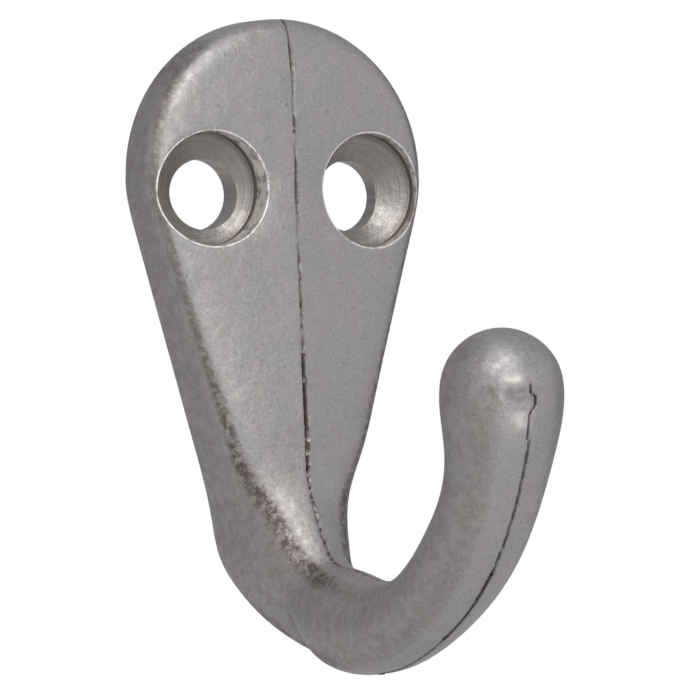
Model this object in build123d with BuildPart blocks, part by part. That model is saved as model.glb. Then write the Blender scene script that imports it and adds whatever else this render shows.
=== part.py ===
from build123d import *
from math import cos, sin, sqrt, radians, tan, pi
import os

os.makedirs("parts", exist_ok=True)

# ---------------------------------------------------------------------------
# Coat hook, one casting: a teardrop wall plate that narrows into a curved
# prong with a rounded tip.  Millimetres.  X to the right, Y towards the wall,
# Z up.  The origin is on the wall face, midway between the two screw holes.
# ---------------------------------------------------------------------------

# Driving dimensions of the plate
plate_width = 21.1          # across the round top, at its widest
plate_top = 11.9            # height of the top edge above the screw holes
side_taper = 16.7           # degrees that each side leans in below the round top
plate_depth = 4.6           # thickness on the centre line, at the round top's centre
plate_slope = 0.077         # how much deeper the plate gets for each mm well below that
slope_blend = 2.0           # how gently the slope sets in below the round top
plate_ridge = 1.1           # section exponent across: near 1, the front is a low roof
plate_squareness = 9.0      # section exponent in depth: the higher, the more upright the sides

# Driving dimensions of the screw holes
bore_diameter = 4.8         # clearance for a No. 8 screw
bore_spacing = 11.0         # centre to centre
head_diameter = 7.75        # rim of the countersink
head_spacing = 12.0         # the countersinks were cut a little further out than the bores
head_rise = 0.3             # and a little higher
seat_height = 2.5           # from the wall face to the wide end of the countersink's cone
countersink_angle = 116.0

# Driving dimensions of the prong
throat_radius = 10.5        # inside of the curve that the coat hangs in
throat_drop = 16.3          # height of the throat's centre below the screw holes
bar_width = 5.7             # across the bar at the bottom of the curve
bar_depth = 6.1             # from the inside of the curve to the underside, at the bottom
prong_lean = 5.4            # degrees that the prong's end leans away from the wall
prong_opening = 1.85        # how much further from the throat's centre the prong's end stands
prong_rise = 4.0            # straight run from the end of the curve to the tip's centre
prong_end_diameter = 7.2    # where the curve ends and the straight run begins
tip_diameter = 8.1

# How the bar swells along the curve, in degrees round the throat's centre from the wall:
# turn, wider throat, wider bar, deeper bar, squareness
bar_stations = (
    (20, 0.25, 2.7, 4.1, 4.5),
    (40, 0.35, 0.6, 2.2, 2.8),
    (65, -0.5, 0.1, 0.6, 2.2),
    (90, -0.65, 0.0, 0.0, 2.0),
    (120, -0.25, 0.1, -0.4, 2.0),
    (150, 0.75, 0.7, 0.3, 2.0),
)
plate_drops = (1.85, 4.35, 8.85, 13.35)  # plate sections, below the round top's centre
tip_latitudes = (25, 45, 62, 76, 86)    # degrees, rings that close the prong's round tip
outline_steps = 48                      # points round each section
newton_steps = 16                       # enough for a section's curve to settle

arc_radius = plate_width / 2
arc_centre = plate_top - arc_radius
X_AXIS = Vector(1, 0, 0)


def plate_thickness(height):
    """Distance from the wall face to the front, on the centre line."""
    below = arc_centre - height
    return plate_depth + plate_slope * below**2 / (below + slope_blend)


def plate_half_width(height):
    """Half the plate's width at a height: first the round top, then the straight taper."""
    taper = radians(side_taper)
    tangent_height = arc_centre - arc_radius * sin(taper)
    if height > tangent_height:
        return sqrt(arc_radius**2 - (height - arc_centre) ** 2)
    return arc_radius * cos(taper) - (tangent_height - height) * tan(taper)


def section_points(half_width, half_depth, ridge, squareness):
    """Points round the closed curve |x/a|^m + |y/b|^n = 1, evenly turned, from the back."""
    points = []
    for step in range(outline_steps):
        angle = 2 * pi * step / outline_steps - pi / 2
        across, up = abs(cos(angle)), abs(sin(angle))
        reach = 1.0
        for _ in range(newton_steps):
            width_term = (reach * across) ** ridge
            depth_term = (reach * up) ** squareness
            slope = (ridge * width_term + squareness * depth_term) / reach
            reach -= (width_term + depth_term - 1) / slope
        points.append((half_width * reach * cos(angle), half_depth * reach * sin(angle)))
    return points


def turn_direction(turn):
    """Unit vector from the throat's centre, turned from the wall, down and round to the front."""
    return Vector(0, cos(radians(turn)), -sin(radians(turn)))


# Each section: its plane, half width, half depth and exponents, from the round top to the tip
sections = []
for drop in (0, *plate_drops, arc_centre + throat_drop):
    height = arc_centre - drop
    plane = Plane(origin=(0, 0, height), x_dir=X_AXIS, z_dir=(0, 0, -1))
    shape = (plate_half_width(height), plate_thickness(height), plate_ridge, plate_squareness)
    sections.append((plane, *shape))

throat_centre = Vector(0, -plate_thickness(-throat_drop) - throat_radius, -throat_drop)
for turn, wider_throat, wider_bar, deeper_bar, squareness in bar_stations:
    outward = turn_direction(turn)
    half_depth = (bar_depth + deeper_bar) / 2
    centre = throat_centre + outward * (throat_radius + wider_throat + half_depth)
    plane = Plane(origin=centre, x_dir=X_AXIS, z_dir=outward.cross(X_AXIS))
    ridge = 2 - (2 - plate_ridge) * (squareness - 2) / (plate_squareness - 2)
    sections.append((plane, (bar_width + wider_bar) / 2, half_depth, ridge, squareness))

end_radius = prong_end_diameter / 2
tip_radius = tip_diameter / 2
tip_outward = turn_direction(180 - prong_lean)
tip_along = tip_outward.cross(X_AXIS)
bend_end = throat_centre + tip_outward * (throat_radius + prong_opening + end_radius)
tip_centre = bend_end + tip_along * prong_rise
sections.append((Plane(origin=bend_end, x_dir=X_AXIS, z_dir=tip_along), end_radius, end_radius, 2, 2))
for latitude in (0, *tip_latitudes):
    centre = tip_centre + tip_along * (tip_radius * sin(radians(latitude)))
    ring_radius = tip_radius * cos(radians(latitude))
    plane = Plane(origin=centre, x_dir=X_AXIS, z_dir=tip_along)
    sections.append((plane, ring_radius, ring_radius, 2, 2))

cone_height = head_diameter / 2 / tan(radians(countersink_angle / 2))

with BuildPart() as hook:
    # The plate's taper, the neck and the prong are one loft, trimmed flat at the wall
    for plane, half_width, half_depth, ridge, squareness in sections:
        with BuildSketch(plane):
            with BuildLine():
                Spline(section_points(half_width, half_depth, ridge, squareness), periodic=True)
            make_face()
    loft()
    split(bisect_by=Plane.XZ)
    # The plate's round top is half of the loft's upper end, turned about the arc's centre
    upper_end = hook.faces().sort_by(Axis.Z)[-1]
    right_half = split(upper_end, bisect_by=Plane.YZ, mode=Mode.PRIVATE)
    revolve(right_half, axis=Axis((0, 0, arc_centre), (0, -1, 0)), revolution_arc=180)
    # Two screw holes: a bore, the drill-point cone of the countersink and its upright wall
    with BuildSketch(Plane.XZ):
        with GridLocations(bore_spacing, 0, 2, 1):
            Circle(bore_diameter / 2)
    extrude(amount=plate_depth, mode=Mode.SUBTRACT)
    with Locations(Plane.XZ.offset(seat_height - cone_height / 2)):
        with Locations((-head_spacing / 2, head_rise), (head_spacing / 2, head_rise)):
            Cone(0, head_diameter / 2, cone_height, mode=Mode.SUBTRACT)
    with BuildSketch(Plane.XZ.offset(seat_height)):
        with Locations((-head_spacing / 2, head_rise), (head_spacing / 2, head_rise)):
            Circle(head_diameter / 2)
    extrude(amount=plate_depth, mode=Mode.SUBTRACT)

hook.part.label = "hook"
export_step(hook.part, "parts/hook.step")
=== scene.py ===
import math

import bmesh
import bpy
from mathutils import Matrix, Vector, noise


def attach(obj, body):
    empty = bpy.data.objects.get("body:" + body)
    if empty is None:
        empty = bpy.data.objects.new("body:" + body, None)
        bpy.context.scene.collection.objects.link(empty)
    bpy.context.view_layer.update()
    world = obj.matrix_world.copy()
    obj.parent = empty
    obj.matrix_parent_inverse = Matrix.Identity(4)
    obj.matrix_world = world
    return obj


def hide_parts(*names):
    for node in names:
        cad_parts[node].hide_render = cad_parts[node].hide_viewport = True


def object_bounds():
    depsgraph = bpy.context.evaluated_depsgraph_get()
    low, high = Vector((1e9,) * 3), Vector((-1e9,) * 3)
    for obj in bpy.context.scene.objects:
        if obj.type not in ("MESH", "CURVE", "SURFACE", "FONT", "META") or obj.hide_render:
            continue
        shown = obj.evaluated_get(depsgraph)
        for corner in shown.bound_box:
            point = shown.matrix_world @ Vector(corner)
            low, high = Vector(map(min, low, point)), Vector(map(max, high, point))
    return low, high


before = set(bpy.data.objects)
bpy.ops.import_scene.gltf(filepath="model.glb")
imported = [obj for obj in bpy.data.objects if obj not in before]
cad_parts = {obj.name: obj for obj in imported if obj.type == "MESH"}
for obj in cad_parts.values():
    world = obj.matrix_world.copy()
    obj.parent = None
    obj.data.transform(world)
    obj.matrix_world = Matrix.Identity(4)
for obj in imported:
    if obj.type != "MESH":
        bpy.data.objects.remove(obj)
cad_low, cad_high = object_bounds()
MM = 0.001

# The casting: one piece of die-cast zinc with its back ground flat.  Its surface is a merged
# copy of the CAD part's own, so the outline, the screw holes and the wall face stay exact.
# Loops are cut along the parting plane of the mould, so its line can be sunk and its lips raised.
casting = bpy.data.objects.new("casting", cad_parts["hook"].data.copy())
bpy.context.scene.collection.objects.link(casting)
bpy.ops.object.select_all(action="DESELECT")
casting.select_set(True)
bpy.context.view_layer.objects.active = casting
bpy.ops.object.mode_set(mode="EDIT")
bpy.ops.mesh.select_all(action="SELECT")
bpy.ops.mesh.remove_doubles(threshold=0.001 * MM)
bpy.ops.mesh.select_all(action="DESELECT")

# The countersinks' rims carry a fine turned-over burr: a narrow bevel round each
rim_radius = 3.875
rim_across = 6.0
rim_height = 0.3
rim_bevel = 0.07
rim_slack = 0.02
rim_fold = math.radians(40)
front_face = -3.0
mesh = bmesh.from_edit_mesh(casting.data)
for edge in mesh.edges:
    on_rim = len(edge.link_faces) == 2 and edge.calc_face_angle(0.0) > rim_fold
    for vertex in edge.verts:
        from_rim_axis = math.hypot(abs(vertex.co.x / MM) - rim_across, vertex.co.z / MM - rim_height)
        on_circle = abs(from_rim_axis - rim_radius) < rim_slack
        on_rim = on_rim and on_circle and vertex.co.y < front_face * MM
    edge.select_set(on_rim)
bmesh.update_edit_mesh(casting.data)
bpy.ops.mesh.select_mode(type="EDGE")
bpy.ops.mesh.bevel(offset=rim_bevel * MM, segments=2)
bpy.ops.mesh.select_mode(type="FACE")

# The parting plane's own loops, closest together at the line
seam_reach = 0.42
seam_loops = (-0.42, -0.3, -0.2, -0.13, -0.08, -0.04, -0.01, 0.02, 0.05, 0.09, 0.14, 0.21, 0.3, 0.42)
for loop_x in seam_loops:
    bpy.ops.mesh.select_all(action="SELECT")
    bpy.ops.mesh.bisect(plane_co=(loop_x * MM, 0, 0), plane_no=(1, 0, 0))
bpy.ops.mesh.customdata_custom_splitnormals_clear()


def select_faces_where(wanted):
    """Selects the faces whose middle, in millimetres, satisfies wanted(x, y, z)."""
    mesh = bmesh.from_edit_mesh(casting.data)
    for face in mesh.faces:
        face.select_set(wanted(*(face.calc_center_median() / MM)))
    bmesh.update_edit_mesh(casting.data)


# Cross cuts along the seam's strip only, with the rest of the surface hidden
cross_cut_step = 0.9
select_faces_where(lambda x, y, z: abs(x) < seam_reach and y < -0.5)
bpy.ops.mesh.hide(unselected=True)
for cut in range(1, int((cad_high.z - cad_low.z) / MM / cross_cut_step)):
    bpy.ops.mesh.select_all(action="SELECT")
    height = cad_high.z - cut * cross_cut_step * MM
    bpy.ops.mesh.bisect(plane_co=(0, 0, height), plane_no=(0, 0, 1))
for cut in range(1, int((cad_high.y - cad_low.y) / MM / cross_cut_step)):
    bpy.ops.mesh.select_all(action="SELECT")
    depth = cad_high.y - cut * cross_cut_step * MM
    bpy.ops.mesh.bisect(plane_co=(0, depth, 0), plane_no=(0, 1, 0))
bpy.ops.mesh.reveal(select=False)

# The prong's front gets a finer net where the gate was broken off
gate_height = -14.6
prong_front = -31
scar_reach = 2.6
for net_width, net_height in ((scar_reach, 3.2), (2.0, 2.6)):
    select_faces_where(
        lambda x, y, z: abs(x) < net_width and y < prong_front and abs(z - gate_height) < net_height
    )
    bpy.ops.mesh.subdivide(number_cuts=1)
bpy.ops.object.mode_set(mode="OBJECT")

# The parting line is nearly straight and opens into a fine crack where the plate turns into
# the bar.  One lip stands slightly proud all the way, and both do along the crack.
line_width = 0.042
line_depth = 0.10
lip_height = 0.03
crack_top = -9.5
crack_bottom = -20.5
crack_width = 0.09
crack_depth = 0.30
wall_margin = -0.4          # nothing nearer the wall face than this is moved
plate_front = -9.5          # the plate lies nearer the wall than this
prong_back = -22            # and the prong's end further out than this
wander_pitch = 0.35
ragged_pitch = 2.5
patch_pitch = 1.7


def fade(value, start, end):
    """0 before start, 1 after end, smooth between."""
    share = min(1.0, max(0.0, (value - start) / (end - start)))
    return share * share * (3 - 2 * share)


def hump(distance, width):
    """1 at no distance, falling away smoothly over the width."""
    return math.exp(-((distance / width) ** 2) / 2)


for mark in ("seam_painted_shade", "scar_painted_highlight", "scar_painted_shade"):
    casting.data.attributes.new(mark, "FLOAT", "POINT")
seam_painted_shade = casting.data.attributes["seam_painted_shade"]
scar_painted_highlight = casting.data.attributes["scar_painted_highlight"]
scar_painted_shade = casting.data.attributes["scar_painted_shade"]
outward = [vertex.normal.copy() for vertex in casting.data.vertices]
for vertex in casting.data.vertices:
    x, y, z = vertex.co / MM
    if y > wall_margin or abs(x) > scar_reach:
        continue
    on_plate = y > plate_front and z > crack_bottom - 2
    on_tip = y < prong_back and z > gate_height - 2.5
    wander = 0.006 * noise.noise(Vector((0.0, y * wander_pitch, z * wander_pitch)))
    ragged = noise.noise(Vector((3.0, y * ragged_pitch, z * ragged_pitch)))
    opening = 0.0
    if on_plate:
        opening = fade(z, crack_bottom, crack_bottom + 3) * (1 - fade(z, crack_top - 3, crack_top))
        opening *= 0.75 + 0.6 * ragged
    opening = max(0.0, opening)
    strength = 1.0
    if on_tip:
        # Filed away over the tip; below, it steps sideways through the gate's scar
        strength = 1 - fade(z, gate_height + 0.9, gate_height + 1.3)
        wander += 0.42 * (fade(z, gate_height - 1.0, gate_height - 0.2) - 1) + 0.25
        wander -= 0.35 * fade(z, gate_height + 0.2, gate_height + 0.6)
        opening = 0.35 * strength * fade(z, gate_height - 1.2, gate_height - 0.4)
    width = line_width + (crack_width - line_width) * opening
    depth = line_depth * (0.9 + 0.3 * ragged) + (crack_depth - line_depth) * opening
    away = x - wander
    lip = lip_height * (1 + 0.8 * ragged)
    rise = lip * hump(away - 2.6 * width, 1.1 * width) - depth * hump(away, width)
    rise += opening * lip * hump(away + 2.4 * width, width)
    rise *= strength
    # Painted shade along the parting line's groove
    seam_painted_shade.data[vertex.index].value = strength * hump(away, 1.1 * width)
    if y < prong_front:
        # The scar: a shallow facet left of the line with a low ledge under it
        facet = hump(x + 0.75, 0.55) * hump(z - gate_height - 0.1, 0.75)
        ledge = hump(x + 0.45, 0.5) * hump(z - gate_height + 1.0, 0.16)
        rise += (0.03 * ledge - 0.07 * facet) * (1 + 0.4 * ragged)
        # Two flecks of painted highlight by the scar
        lower_fleck = hump(x + 0.75, 0.5) * hump(z - gate_height + 1.3, 0.42)
        upper_fleck = hump(x + 1.0, 0.5) * hump(z - gate_height - 1.4, 0.2)
        patchy = max(0.0, 0.75 + 1.1 * noise.noise(Vector((x * patch_pitch, 5.0, z * patch_pitch))))
        scar_painted_highlight.data[vertex.index].value = min(1.0, (lower_fleck + upper_fleck) * patchy)
        # A band of painted shade over the scar's dent
        band = hump(z - gate_height - 0.45, 0.5) * hump(x + 1.6, 1.1)
        scar_painted_shade.data[vertex.index].value = min(1.0, band * patchy)
    vertex.co += outward[vertex.index] * rise * MM
    vertex.co.x = min(cad_high.x, max(cad_low.x, vertex.co.x))
    vertex.co.y = min(cad_high.y, max(cad_low.y, vertex.co.y))
    vertex.co.z = min(cad_high.z, max(cad_low.z, vertex.co.z))

bpy.ops.object.shade_smooth_by_angle(angle=math.radians(32))

# Raw die-cast zinc, tumbled and never plated: a mottled satin grey, a little warm in places,
# with fine pits, brownish grime and painted shade on the sides, painted shade along the crease,
# in the parting line and over the gate's scar, painted highlights on the rims' burrs and by the
# scar, and bright freshly cut metal in the countersinks with painted shade toward their outer edge.
cast_metal = bpy.data.materials.new("cast_metal")
cast_metal.use_nodes = True
nodes = cast_metal.node_tree.nodes
links = cast_metal.node_tree.links
nodes.clear()


def add(kind, label, **settings):
    """Adds a node with its plain-word label, its settings and its place in the row."""
    made = nodes.new("ShaderNode" + kind)
    made.label = label
    made.location = (len(nodes) * 180 - 4000, 0)
    for name, value in settings.items():
        setattr(made, name, value)
    return made


def arithmetic(label, operation, *terms):
    """A Math node: each term is a number or another node's output."""
    made = add("Math", label, operation=operation)
    for socket, term in zip(made.inputs, terms):
        if isinstance(term, (int, float)):
            socket.default_value = term
        else:
            links.new(term, socket)
    return made.outputs[0]


def stretch(label, value, low, high, out_low=0.0, out_high=1.0):
    """Maps low..high to out_low..out_high, smoothly and clamped."""
    made = add("MapRange", label, interpolation_type="SMOOTHSTEP")
    links.new(value, made.inputs["Value"])
    made.inputs["From Min"].default_value = low
    made.inputs["From Max"].default_value = high
    made.inputs["To Min"].default_value = out_low
    made.inputs["To Max"].default_value = out_high
    return made.outputs["Result"]


def grain(label, scale, detail=3.0, rough=0.55, vector=None):
    """A noise texture; scale is in features a millimetre."""
    made = add("TexNoise", label)
    links.new(vector or millimetres, made.inputs["Vector"])
    made.inputs["Scale"].default_value = scale
    made.inputs["Detail"].default_value = detail
    made.inputs["Roughness"].default_value = rough
    return made.outputs["Fac"]


def blend(label, share, first, second, kind="MIX"):
    """Mixes two colours, each a tuple or an output."""
    made = add("Mix", label, data_type="RGBA", blend_type=kind)
    sockets = (made.inputs[0], made.inputs[6], made.inputs[7])
    for socket, term in zip(sockets, (share, first, second)):
        if isinstance(term, bpy.types.NodeSocket):
            links.new(term, socket)
        elif isinstance(term, tuple):
            socket.default_value = (*term, 1.0)
        else:
            socket.default_value = term
    return made.outputs[2]


place = add("TexCoord", "object place")
to_mm = add("VectorMath", "in millimetres", operation="SCALE")
links.new(place.outputs["Object"], to_mm.inputs[0])
to_mm.inputs["Scale"].default_value = 1 / MM
millimetres = to_mm.outputs[0]
split = add("SeparateXYZ", "x y z")
links.new(millimetres, split.inputs[0])
across, toward_wall, up = split.outputs
facing = add("SeparateXYZ", "way the surface faces")
links.new(place.outputs["Normal"], facing.inputs[0])

# Where each finish and each painted shade lies: the countersinks by their distance from the two
# axes, the sides and the crease by the way that they face
from_side = arithmetic("distance from centre", "ABSOLUTE", across)
beside = arithmetic("across from axis", "SUBTRACT", from_side, rim_across)
above = arithmetic("up from axis", "SUBTRACT", up, rim_height)
beside_squared = arithmetic("across squared", "MULTIPLY", beside, beside)
above_squared = arithmetic("up squared", "MULTIPLY", above, above)
squares = arithmetic("sum", "ADD", beside_squared, above_squared)
from_axis = arithmetic("distance from axis", "SQRT", squares)
in_plate = arithmetic("nearer the wall than the bar", "GREATER_THAN", toward_wall, -7.0)
off_wall_face = arithmetic("off the wall face", "LESS_THAN", toward_wall, -0.02)
in_holes = arithmetic("within the plate", "MULTIPLY", in_plate, off_wall_face)
inside_rim = stretch("inside the rim", from_axis, 3.93, 3.85)
machined = arithmetic("cut metal", "MULTIPLY", inside_rim, in_holes)
sideways = arithmetic("faces sideways", "ABSOLUTE", facing.outputs[0])
side_band = stretch("side band", sideways, 0.45, 0.85)
crease_inner = stretch("edge of the front", sideways, 0.42, 0.60)
crease_outer = stretch("edge of the side", sideways, 0.90, 0.72)
crease = arithmetic("crease", "MULTIPLY", crease_inner, crease_outer)

# Colour, from the plain grey to what lies on it and to the painted shade and highlights
broad = grain("broad mottling", 0.30, 3.0)
warm_grey = (0.312, 0.297, 0.292)
cool_grey = (0.296, 0.291, 0.294)
metal = blend("warm and cool grey", stretch("patches", broad, 0.38, 0.62), warm_grey, cool_grey)
fine = grain("fine speckle", 8.0, 3.0, 0.6)
light_flecks = blend("light flecks", 1.0, metal, (1.22, 1.21, 1.21), "MULTIPLY")
metal = blend("speckle", stretch("speckle strength", fine, 0.35, 0.68), metal, light_flecks)
dark_fleck = grain("dark flecks", 2.6, 5.0, 0.7)
dark_strength = stretch("dark strength", dark_fleck, 0.40, 0.30, 0.0, 0.45)
metal = blend("dark specks", dark_strength, metal, (0.10, 0.085, 0.078))
# Brown grime on the sides with painted shade: the side faces are darkened by the way they face
blotch_noise = grain("side_grime_and_shade", 1.4, 5.0, 0.7)
side_grime_and_shade_patches = stretch("grime patches", blotch_noise, 0.36, 0.66, 0.10, 0.45)
side_grime_and_shade = arithmetic("grime on sides", "MULTIPLY", side_band, side_grime_and_shade_patches)
metal = blend("brown grime", side_grime_and_shade, metal, (0.170, 0.145, 0.133))
# Painted shade along the crease between the front and the sides, patchy, weaker on the prong and
# stronger toward the neck
near_plate = stretch("plate more than prong", toward_wall, -16.0, -10.0, 0.25, 1.0)
crease = arithmetic("crease on plate", "MULTIPLY", crease, near_plate)
toward_neck = stretch("toward neck", up, -4.0, -20.0, 0.75, 1.3)
crease = arithmetic("gathers at neck", "MULTIPLY", crease, toward_neck)
crease_speckle = grain("crease speckle", 2.2, 5.0, 0.75)
crease_patches = stretch("crease patches", crease_speckle, 0.38, 0.58, 0.1, 0.75)
crease_painted_shade = arithmetic("crease painted shade", "MULTIPLY", crease, crease_patches)
metal = blend("painted shade in the crease", crease_painted_shade, metal, (0.105, 0.080, 0.070))
# Painted shade over the dent of the gate's scar
scar_mark = add("Attribute", "painted shade in the scar", attribute_name="scar_painted_shade")
scar_share = arithmetic("scar share", "MULTIPLY", scar_mark.outputs["Fac"], 0.55)
metal = blend("dark scar", scar_share, metal, (0.120, 0.100, 0.092))
# Painted highlights: two bright flecks by the gate's scar
rub_mark = add("Attribute", "painted highlights by the scar", attribute_name="scar_painted_highlight")
metal = blend("bright flecks", rub_mark.outputs["Fac"], metal, (0.60, 0.575, 0.56))
# Painted shade in the parting line's groove
seam_mark = add("Attribute", "painted shade in the parting line", attribute_name="seam_painted_shade")
line_share = arithmetic("line share", "MULTIPLY", seam_mark.outputs["Fac"], 0.85)
metal = blend("dark parting line", line_share, metal, (0.045, 0.038, 0.035))
cut_lines = add("CombineXYZ", "turning marks")
links.new(from_axis, cut_lines.inputs[0])
rings = grain("turning marks", 9.0, 3.0, 0.6, cut_lines.outputs[0])
ring_tone = stretch("ring tone", rings, 0.35, 0.65)
fresh = blend("fresh metal", ring_tone, (0.235, 0.219, 0.207), (0.325, 0.311, 0.300))
# Painted shade, brown-tinted, on the countersinks' outer part
countersink_wall_shade = stretch("painted shade on countersink wall", from_axis, 3.45, 3.80, 0.0, 0.55)
fresh = blend("brown wall", countersink_wall_shade, fresh, (0.150, 0.118, 0.098))
metal = blend("cut countersinks", machined, metal, fresh)
# Painted highlight: a bright, broken ring over the rims' burr
burr_highlight_inner = stretch("burr inside", from_axis, 3.83, 3.88)
burr_highlight = arithmetic("burr_highlight", "MULTIPLY", burr_highlight_inner, stretch("burr outside", from_axis, 4.02, 3.95))
front_only = arithmetic("on the front", "LESS_THAN", toward_wall, front_face)
burr_highlight = arithmetic("near plate", "MULTIPLY", burr_highlight, in_plate)
burr_highlight = arithmetic("burr on plate", "MULTIPLY", burr_highlight, front_only)
burr_highlight_gaps = stretch("burr gaps", blotch_noise, 0.40, 0.52, 0.25, 0.9)
burr_highlight = arithmetic("broken burr", "MULTIPLY", burr_highlight, burr_highlight_gaps)
metal = blend("bright burr", burr_highlight, metal, (0.78, 0.76, 0.75))

# Gloss and surface
rough_noise = grain("gloss patches", 1.8, 4.0)
roughness = stretch("satin", rough_noise, 0.3, 0.7, 0.42, 0.60)
polish = arithmetic("polish", "MULTIPLY", machined, 0.12)
roughness = arithmetic("cut metal is smoother", "SUBTRACT", roughness, polish)
pits = add("TexVoronoi", "pits")
links.new(millimetres, pits.inputs["Vector"])
pits.inputs["Scale"].default_value = 1.9
pit_depth = stretch("pit shape", pits.outputs["Distance"], 0.0, 0.22)
skin = grain("casting skin", 3.2, 6.0, 0.6)
swell = grain("slow swell", 0.55, 2.0)
height = arithmetic("skin height", "MULTIPLY", skin, 0.055)
height = arithmetic("with swell", "MULTIPLY_ADD", swell, 0.16, height)
height = arithmetic("with pits", "MULTIPLY_ADD", pit_depth, 0.012, height)
ring_height = arithmetic("ring height", "MULTIPLY", rings, machined)
height = arithmetic("with rings", "MULTIPLY_ADD", ring_height, 0.05, height)
bump = add("Bump", "surface")
links.new(height, bump.inputs["Height"])
bump.inputs["Distance"].default_value = MM
bump.inputs["Strength"].default_value = 0.6

shader = add("BsdfPrincipled", "cast metal")
links.new(metal, shader.inputs["Base Color"])
links.new(roughness, shader.inputs["Roughness"])
links.new(bump.outputs[0], shader.inputs["Normal"])
shader.inputs["Metallic"].default_value = 0.75
output = add("OutputMaterial", "surface out")
links.new(shader.outputs[0], output.inputs[0])
casting.data.materials.clear()
casting.data.materials.append(cast_metal)

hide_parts("hook")
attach(casting, "root")

# The floor: a plain pale board under the hook, which hangs clear of it.  It is small enough
# to end before the camera's view reaches it.
floor_drop = 12 * MM
bpy.ops.mesh.primitive_plane_add(size=0.3, location=(0, 0, cad_low.z - floor_drop))
floor = bpy.context.active_object
floor.name = "floor"
floor_paint = bpy.data.materials.new("floor_paint")
floor_paint.use_nodes = True
floor_shader = floor_paint.node_tree.nodes["Principled BSDF"]
floor_shader.inputs["Base Color"].default_value = (0.85, 0.85, 0.85, 1)
floor_shader.inputs["Roughness"].default_value = 0.8
floor.data.materials.append(floor_paint)

# Soft studio light: a large box high on the left, one near the front, a small one at the far
# left that edges the prong, a weak one at the right, and a grey room all round.  The camera
# alone sees the room as white.
hook_middle = Vector((0, -14, -9.88)) * MM


def softbox(name, azimuth, elevation, distance, size, power, tint):
    """An area lamp that looks at the hook; azimuth is from the front, positive to the right."""
    turn, tilt = math.radians(azimuth), math.radians(elevation)
    away = Vector((math.sin(turn) * math.cos(tilt), -math.cos(turn) * math.cos(tilt), math.sin(tilt)))
    lamp = bpy.data.lights.new(name, "AREA")
    lamp.shape = "SQUARE"
    lamp.size = size
    lamp.energy = power
    lamp.color = tint
    holder = bpy.data.objects.new(name, lamp)
    bpy.context.scene.collection.objects.link(holder)
    holder.location = hook_middle + away * distance
    holder.rotation_euler = away.to_track_quat("Z", "Y").to_euler()


softbox("key", -28, 48, 0.8, 0.45, 3.6, (1.0, 0.975, 0.955))
softbox("front", -12, 10, 0.9, 0.5, 2.0, (1.0, 0.985, 0.975))
softbox("left", -64, 24, 0.8, 0.25, 0.8, (1.0, 0.97, 0.95))
softbox("fill", 55, 15, 0.9, 0.6, 0.8, (0.95, 0.97, 1.0))

room = bpy.data.worlds.new("room")
room.use_nodes = True
bpy.context.scene.world = room
room_nodes = room.node_tree.nodes
room_links = room.node_tree.links
room_nodes.clear()
room_light = room_nodes.new("ShaderNodeBackground")
room_light.inputs["Color"].default_value = (0.42, 0.42, 0.43, 1)
paper = room_nodes.new("ShaderNodeBackground")
paper.inputs["Color"].default_value = (1, 1, 1, 1)
seen = room_nodes.new("ShaderNodeLightPath")
choice = room_nodes.new("ShaderNodeMixShader")
room_output = room_nodes.new("ShaderNodeOutputWorld")
room_links.new(seen.outputs["Is Camera Ray"], choice.inputs[0])
room_links.new(room_light.outputs[0], choice.inputs[1])
room_links.new(paper.outputs[0], choice.inputs[2])
room_links.new(choice.outputs[0], room_output.inputs[0])

# The camera: from the left, a hair below the hook's middle, with a long lens.  It aims a
# little left of and below that middle, so the plate and the prong share the frame.
camera_azimuth = math.radians(28.434)
camera_elevation = math.radians(-1.308)
camera_roll = math.radians(-0.535)
camera_distance = 623.85 * MM
aim_left = 1.077 * MM
aim_down = 0.763 * MM
sensor_width = 36.0
frame_width = 46.27 * MM
level = math.cos(camera_elevation)
toward_camera = Vector((
    -math.sin(camera_azimuth) * level,
    -math.cos(camera_azimuth) * level,
    math.sin(camera_elevation),
))
right = Vector((math.cos(camera_azimuth), -math.sin(camera_azimuth), 0))
upward = toward_camera.cross(right)
rolled_right = right * math.cos(camera_roll) + upward * math.sin(camera_roll)
rolled_up = upward * math.cos(camera_roll) - right * math.sin(camera_roll)
lens = bpy.data.cameras.new("camera")
lens.sensor_width = sensor_width
lens.lens = sensor_width * camera_distance / frame_width
lens.clip_start = 0.01
camera = bpy.data.objects.new("camera", lens)
bpy.context.scene.collection.objects.link(camera)
aim = hook_middle - rolled_right * aim_left - rolled_up * aim_down
stand = aim + toward_camera * camera_distance
turned = Matrix((rolled_right, rolled_up, toward_camera)).transposed()
camera.matrix_world = Matrix.Translation(stand) @ turned.to_4x4()
bpy.context.scene.camera = camera
bpy.context.scene.view_settings.view_transform = "Standard"
